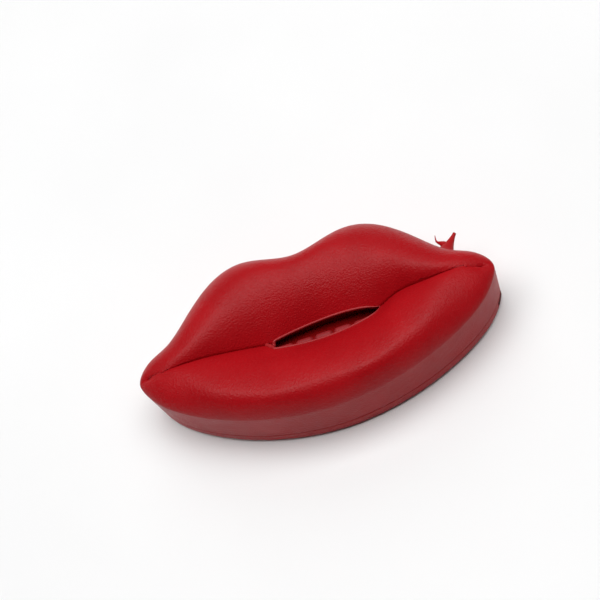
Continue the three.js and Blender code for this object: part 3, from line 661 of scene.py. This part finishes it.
def tooth(name, x, y, width, depth, low, high):
    """A rounded tooth, domed on top."""
    profile = [(0, low, TOOTH["corner"])]
    for k in range(11):
        turn = k / 10 * pi / 2
        inset = 2.4 * (1 - cos(turn))
        z = high - TOOTH["dome"] + TOOTH["dome"] * sin(turn)
        profile.append((inset, z, TOOTH["corner"] - 0.9 * inset))
    rows = []
    for inset, z, corner in profile:
        outline = rectangle(x, y, width - 2 * inset, depth - 2 * inset, corner)
        rows.append([(px, py, z) for px, py in outline])
    return loft(name, rows, sharp=60)


def teeth_bar():
    """Five teeth on a rail."""
    low, high = node_box("teeth_row")
    y, middle = (low[1] + high[1]) / 2, (low[0] + high[0]) / 2
    depth, width = high[1] - low[1], TOOTH["width"]
    places = [middle + (i - 2) * TOOTH["pitch"] for i in range(5)]
    teeth = [tooth(f"tooth_{i}", x, y, width, depth, low[2], high[2]) for i, x in enumerate(places)]
    rail = block("rail", (places[0], y - 2.3, low[2]), (places[-1], y + 1.1, 27.5), 0.4, 1)
    return join("teeth_bar", rail, *teeth)


def mouth_tray():
    """The smooth well behind the slit, with its two screw ears."""
    bottom, top = node_box("mouth_well")[0][2], TRAY["top"]
    wall = [(6, bottom), (1.2, bottom), (0.3, bottom + 0.4), (0, bottom + 1.5)]
    wall += [(0, top - 0.6), (0.5, top)]
    inside = [(1.1, top), (1.6, top - 0.6), (1.8, bottom + 4), (2.8, bottom + 2.2), (6, bottom + 1.8)]
    size = (TRAY["length"], TRAY["width"], TRAY["corner"])
    tray = slab("mouth_tray", TRAY["x"], TRAY["y"], *size, wall + inside, sharp=50)
    ears = []
    for node in ("well_screw_1", "well_screw_2"):
        ear_x, ear_y, _ = node_middle(node)
        edge = [(0.3, bottom), (0, bottom + 0.3), (0, bottom + 2.4)]
        ears.append(slab("ear", ear_x, ear_y, 9.4, 8, 2.5, edge))
    return join("mouth_tray", tray, *ears)


finish_piece(teeth_bar(), red_teeth_painted_sheen, "mouth_red", "teeth_row")
finish_piece(mouth_tray(), red_mouth_painted_shade, "mouth_red", "mouth_well")

# ---------------------------------------------------------------- cord gland


def gland_piece():
    """A spur-shaped strain relief with a flared collar, an empty bore and a bent locking tab."""
    origin = np.array((GLAND["x"], GLAND["y"], GLAND["z"]))
    ahead = np.array((cos(GLAND["turn"]), sin(GLAND["turn"]), 0))
    aside = np.array((-ahead[1], ahead[0], 0))
    reach = GLAND["reach"]
    profile = [(0.7, -6.2), (5.0, -6.2), (5.0, -4.3), (3.4, -4.3), (3.4, 1.3), (5.3, 1.3), (5.3, 2.4)]
    for k in range(1, 13):
        place_on = 2.4 + (reach - 2.4) * k / 12
        profile.append((1.05 + 3.9 * (1 - k / 12) ** 1.6, place_on))
    profile += [(0.7, reach)]
    smooth = rounded(profile, 0.35, 3, closed=True)
    body = turned("gland", smooth, origin, ahead, 48, 40, ring=True)
    bends = [(5.2, 0.6), (6.2, 2.0), (6.8, 3.6), (7.0, 5.4)]
    bends += [(6.9, 7.0), (7.3, 8.3), (8.6, 9.4), (10.8, 10.7)]
    route = [origin + ahead * a + aside * b for a, b in bends]
    return join("gland", body, tube("tab", route, [2.7, 2.6, 2.1, 1.3, 0.85, 0.55, 0.4, 0.2]))


finish_piece(gland_piece(), red_gland, "gland_red", "cord_gland")

# ---------------------------------------------------------------- keypad

KEY_EDGE = [(2.4, 2.4), (1.3, 2.42), (0.6, 2.56), (0.2, 2.85), (0.03, 3.25), (0, 3.7)]
KEY_LEGENDS = {f"key_{n}": str(n) for n in range(10)} | {"key_star": "*", "key_hash": "#"}
FUNCTION_KEYS = ("redial_key", "mute_key")


def keycap(node):
    """A pillowed key with its flange."""
    low, high = node_box(node)
    x, y = (low[:2] + high[:2]) / 2
    length, width = high[:2] - low[:2] - 2.2
    flange = [(0, 5.9), (-0.95, 5.9), (-1.1, 6.05), (-1.1, high[2])]
    return slab(node + "_cap", x, y, length, width, 1.8, KEY_EDGE + flange, sharp=50)


def key_legend(node, text):
    """A printed numeral on a key's face, reading towards the earpiece end as up."""
    curve = bpy.data.curves.new(node + "_legend", "FONT")
    curve.body = text
    curve.align_x, curve.align_y = "CENTER", "CENTER"
    curve.size = 6.2 * MM
    curve.extrude = 0.02 * MM
    curve.resolution_u = 6
    lettering = bpy.data.objects.new("lettering", curve)
    bpy.context.scene.collection.objects.link(lettering)
    graph = bpy.context.evaluated_depsgraph_get()
    mesh = bpy.data.meshes.new_from_object(lettering.evaluated_get(graph))
    bpy.data.objects.remove(lettering)
    points = np.array([v.co for v in mesh.vertices])
    middle = (points.min(0) + points.max(0)) / 2
    x, y, _ = node_middle(node)
    face = Vector((x, y, node_box(node)[0][2])) * MM
    turn = Matrix(((0, -1, 0), (-1, 0, 0), (0, 0, -1))).to_4x4()
    mesh.transform(Matrix.Translation(face) @ turn @ Matrix.Translation(-Vector(middle)))
    return bpy.data.objects.new(node + "_legend", mesh)


def function_mark(node):
    """A ring on the redial key and a bar on the mute key."""
    x, y, _ = node_middle(node)
    z = node_box(node)[0][2]
    if node == "redial_key":
        return turned("mark", [(1.0, z - 0.02), (1.7, z - 0.02), (1.7, z + 0.02), (1.0, z + 0.02)],
                      (x, y, 0), sides=40, ring=True)
    return slab("mark", x, y, 0.9, 5, 0.4, [(0, z - 0.02), (0, z + 0.02)])


for node, text in KEY_LEGENDS.items():
    legend = key_legend(node, text)
    bpy.context.scene.collection.objects.link(legend)
    finish_piece(legend, legend_ink, "black_plastic", body=node)
    finish_piece(keycap(node), ivory, "key_ivory", node, body=node)
for node in FUNCTION_KEYS:
    mark = function_mark(node)
    mark.name = node + "_legend"
    finish_piece(mark, legend_ink, "black_plastic", body=node)
    finish_piece(keycap(node), ivory, "key_ivory", node, body=node)


def bezel_plate():
    """The keypad's frame, with a hole for each key."""
    low, high = node_box("keypad_bezel")
    x, y = (low[:2] + high[:2]) / 2
    length, width = high[:2] - low[:2]
    edge = rounded([(3, low[2]), (0, low[2]), (0, high[2]), (3, high[2])], 0.4)
    plate = slab("bezel_plate", x, y, length, width, 4, edge)
    holes = []
    for node in (*KEY_LEGENDS, *FUNCTION_KEYS):
        key_low, key_high = node_box(node)
        hole_x, hole_y = (key_low[:2] + key_high[:2]) / 2
        along_x, along_y = key_high[:2] - key_low[:2] - 1.6
        lead = [(-0.45, low[2] - 1), (-0.45, low[2]), (0, low[2] + 0.45), (0, high[2] + 1)]
        holes.append(slab("hole", hole_x, hole_y, along_x, along_y, 2, lead))
    return cut(plate, *holes)


finish_piece(bezel_plate(), red_trim, "trim_red", "keypad_bezel")

# ---------------------------------------------------------------- earpiece and mouthpiece


def circle_of(count, radius):
    turns = [2 * pi * i / count for i in range(count)]
    return [(radius * cos(t), radius * sin(t)) for t in turns]


def sound_cap(node, spigot, holes, hole_radius):
    """A dished cap with a raised rim and countersunk sound holes."""
    low, high = node_box(node)
    x, y = (low[:2] + high[:2]) / 2
    radius = (high[0] - low[0]) / 2
    dish = [(0, low[2] + 0.9), (radius * 0.4, low[2] + 0.8), (radius * 0.62, low[2] + 0.45)]
    rim = [(radius - 3.5, low[2]), (radius - 0.8, low[2]), (radius, low[2] + 0.6), (radius, 3.3)]
    back = [(spigot, 3.3), (spigot, high[2]), (0, high[2])]
    cap = turned(node + "_face", rounded(dish + rim + back, 0.5, 4), (x, y, 0), sides=96, sharp=40)
    tools = []
    for dx, dy in holes:
        depth = low[2] + 0.9 * max(0, 1 - np.hypot(dx, dy) / (radius * 0.95))
        hole = [(hole_radius + 0.9, depth - 0.7), (hole_radius, depth + 0.2), (hole_radius, high[2] + 1)]
        tools.append(turned("hole", hole, (x + dx, y + dy, 0), sides=28))
    return cut(cap, *tools, sharp=35)


ear_holes = [(0, 0), *circle_of(6, 5.2), *circle_of(12, 10.4)]
finish_piece(sound_cap("earpiece_cap", 15, ear_holes, 1.2), red_trim, "trim_red", "earpiece_cap")
mouth_holes = [(0, 0), *circle_of(6, 4)]
finish_piece(sound_cap("mouthpiece_cap", 6.7, mouth_holes, 1.0), red_trim, "trim_red", "mouthpiece_cap")

# ---------------------------------------------------------------- plunger, knobs, screws and feet


def plunger():
    """The hook plunger: a pillowed button with a flange and a pin."""
    low, high = node_box("hook_plunger")
    x, y = (low[:2] + high[:2]) / 2
    profile = [(2.2, 0), (1.0, 0.04), (0.45, 0.25), (0.12, 0.7), (0, 1.3)]
    profile += [(0, 8.7), (-1.5, 8.7), (-1.5, 9.7)]
    button = slab("plunger", x, y, 9.4, 17.4, 1.5, profile, sharp=50)
    pin = turned("pin", rounded([(1.9, 9.6), (1.9, high[2]), (0, high[2])], 0.4), (x, y, 0), sides=32)
    return join("plunger", button, pin)


def ribbed_mode_knob():
    """The small slide knob under the casing, with three grooves across its face."""
    low, high = node_box("mode_switch_knob")
    x, y = (low[:2] + high[:2]) / 2
    cap = block("mode_knob", (x - 1.8, y - 1.6, low[2]), (x + 1.8, y + 1.6, 4.3), 0.25, 0.4)
    grooves = [block("groove", (x + dx - 0.2, y - 2, 2), (x + dx + 0.2, y + 2, low[2] + 0.4), 0.01, 0.05)
               for dx in (-0.9, 0, 0.9)]
    stem = block("stem", (x - 1.5, y - 0.8, 4.2), (x + 1.5, y + 0.8, high[2]), 0.05, 0.1)
    return join("mode_knob", cut(cap, *grooves), stem)


def ringer_knob():
    """A slide knob whose outer face follows the casing's outline, just proud of it."""
    low, high = node_box("ringer_switch_knob")
    y = (low[1] + high[1]) / 2
    proud, edge = 0.3, 0.35
    rows = [level_row(-proud + edge, low[2]), level_row(-proud + edge * 0.3, low[2] + edge * 0.3)]
    rows += [level_row(-proud, low[2] + edge), level_row(-proud, high[2] - edge)]
    rows += [level_row(-proud + edge * 0.3, high[2] - edge * 0.3), level_row(-proud + edge, high[2])]
    reach = block("reach", (102.5, low[1], low[2] - 1), (high[0], high[1], high[2] + 1), 0.1, 0.8)
    cap = boolean(loft("ringer_knob", rows, sharp=50), "INTERSECT", reach, sharp=50)
    stem = block("stem", (low[0], y - 0.5, 5.4), (103.5, y + 1.9, 6.6), 0.05, 0.1)
    return join("ringer_knob", cap, stem)


def screw(node, head_radius, head_low, head_high, shank_radius):
    """A pan-head screw seen from its cross recess."""
    low, high = node_box(node)
    x, y = (low[:2] + high[:2]) / 2
    profile = [(0, head_low), (head_radius * 0.72, head_low + 0.05), (head_radius, head_low + 0.7)]
    profile += [(head_radius, head_high), (shank_radius, head_high)]
    profile += [(shank_radius, high[2]), (0, high[2])]
    body = turned(node + "_body", rounded(profile, 0.3, 3), (x, y, 0), sides=40, sharp=40)
    arms = [slab("arm", x, y, length, width, 0.1, [(0, head_low - 1), (0.05, head_low + 0.9)])
            for length, width in ((head_radius, 0.7), (0.7, head_radius))]
    return cut(body, *arms)


def foot(node):
    """A round rubber foot with a shallow dimple."""
    low, high = node_box(node)
    x, y = (low[:2] + high[:2]) / 2
    profile = [(0, 0.12), (2.6, 0.12), (3.0, 0), (4.2, 0), (4.9, 0.6), (4.9, high[2]), (0, high[2])]
    return turned(node + "_pad", rounded(profile, 0.4, 4), (x, y, 0), sides=56, sharp=50)


finish_piece(plunger(), ivory, "plunger_ivory", "hook_plunger", body="hook_plunger")
finish_piece(ribbed_mode_knob(), black, "knob_black", "mode_switch_knob", body="mode_switch_knob")
finish_piece(ringer_knob(), red_knob, "knob_red", "ringer_switch_knob", body="ringer_switch_knob")
for node in CASE_SCREWS:
    finish_piece(screw(node, 2.9, 5.1, 7, 1.4), steel, "screw_steel", node)
for node in FEET:
    finish_piece(foot(node), black_rubber, "foot_rubber", node)

# ---------------------------------------------------------------- carried-over CAD nodes

CARRIED = {
    grey_rubber: ["keypad_membrane"],
    ivory: ["line_terminal"],
    black: ["receiver_capsule", "hook_bracket", "hook_switch", "ringer_cup", "dialler_chip"],
    black_rubber: ["microphone_boot", "receiver_lead", "microphone_lead"],
    foam: ["earpiece_gasket"],
    steel: ["microphone_capsule", "mode_switch_body", "ringer_switch_body", "hook_spring"],
    dark_steel: ["line_transformer"],
    brass: ["ringer_disc"],
    blue_sleeve: ["smoothing_capacitor"],
    green_board: ["main_board"],
}
CARRIED[steel] += ["well_screw_1", "well_screw_2", *[f"board_screw_{i}" for i in range(1, 5)]]
for material, names in CARRIED.items():
    for name in names:
        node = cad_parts[name]
        node.data.materials.clear()
        node.data.materials.append(material)

# ---------------------------------------------------------------- floor, light and camera


def make_floor():
    """A wide pale floor, slightly mottled."""
    look = Look("pale_floor", 0.6)
    look.colour(look.noise(260, 3), 0.3, 0.7, (0.86, 0.86, 0.86), (0.9, 0.9, 0.9))
    look.rough(look.noise(120, 3), 0.3, 0.7, 0.55, 0.68)
    size = 8.0
    mesh = bpy.data.meshes.new("floor")
    corners = [(-size, -size, 0), (size, -size, 0), (size, size, 0), (-size, size, 0)]
    mesh.from_pydata(corners, [], [(0, 1, 2, 3)])
    mesh.materials.append(look.material)
    floor = bpy.data.objects.new("floor", mesh)
    bpy.context.scene.collection.objects.link(floor)


def soft_light(name, place, sizes, power, in_gloss=True):
    """A broad soft light that faces the object, longer along X than it is deep."""
    data = bpy.data.lights.new(name, "AREA")
    data.shape = "RECTANGLE"
    data.size, data.size_y = sizes
    data.energy = power
    light = bpy.data.objects.new(name, data)
    bpy.context.scene.collection.objects.link(light)
    light.location = place
    light.visible_glossy = in_gloss
    light.rotation_mode = "QUATERNION"
    light.rotation_quaternion = (-light.location).to_track_quat("-Z", "Y")


def make_world():
    """A dim studio, paler at the horizon."""
    world = bpy.data.worlds.new("studio")
    world.use_nodes = True
    nodes, links = world.node_tree.nodes, world.node_tree.links
    place = nodes.new("ShaderNodeTexCoord").outputs["Generated"]
    split = nodes.new("ShaderNodeSeparateXYZ")
    ramp = nodes.new("ShaderNodeValToRGB")
    links.new(place, split.inputs[0])
    links.new(split.outputs["Z"], ramp.inputs[0])
    ramp.color_ramp.elements[0].position = 0.03
    ramp.color_ramp.elements[0].color = (0.25, 0.25, 0.255, 1)
    ramp.color_ramp.elements[1].position = 0.2
    ramp.color_ramp.elements[1].color = (0.02, 0.02, 0.02, 1)
    links.new(ramp.outputs["Color"], nodes["Background"].inputs["Color"])
    bpy.context.scene.world = world


def make_camera():
    """Looks down from the lower lip's side, rolled, as a hand-held camera would be."""
    azimuth, elevation, roll = radians(15.23), radians(59.09), radians(32.1)
    distance, target = 0.6632, Vector((-6.08, 29.73 + CORNER_Y, 20)) * MM
    back = Vector((sin(azimuth) * cos(elevation), -cos(azimuth) * cos(elevation), sin(elevation)))
    level = Vector((cos(azimuth), sin(azimuth), 0))
    lift = back.cross(level)
    right = level * cos(roll) - lift * sin(roll)
    up = level * sin(roll) + lift * cos(roll)
    data = bpy.data.cameras.new("camera")
    data.sensor_width = 36
    data.lens = 65.05
    data.clip_start, data.clip_end = 0.01, 50
    camera = bpy.data.objects.new("camera", data)
    bpy.context.scene.collection.objects.link(camera)
    turn = Matrix((right, up, back)).transposed().to_4x4()
    camera.matrix_world = Matrix.Translation(target + back * distance) @ turn
    bpy.context.scene.camera = camera


make_floor()
make_world()
soft_light("overhead", (0.0, 0.5, 4.6), (7.2, 3.5), 305)
soft_light("back", (0.0, 3.4, 2.2), (3.6, 3.0), 38, in_gloss=False)
make_camera()
bpy.context.scene.view_settings.view_transform = "Standard"
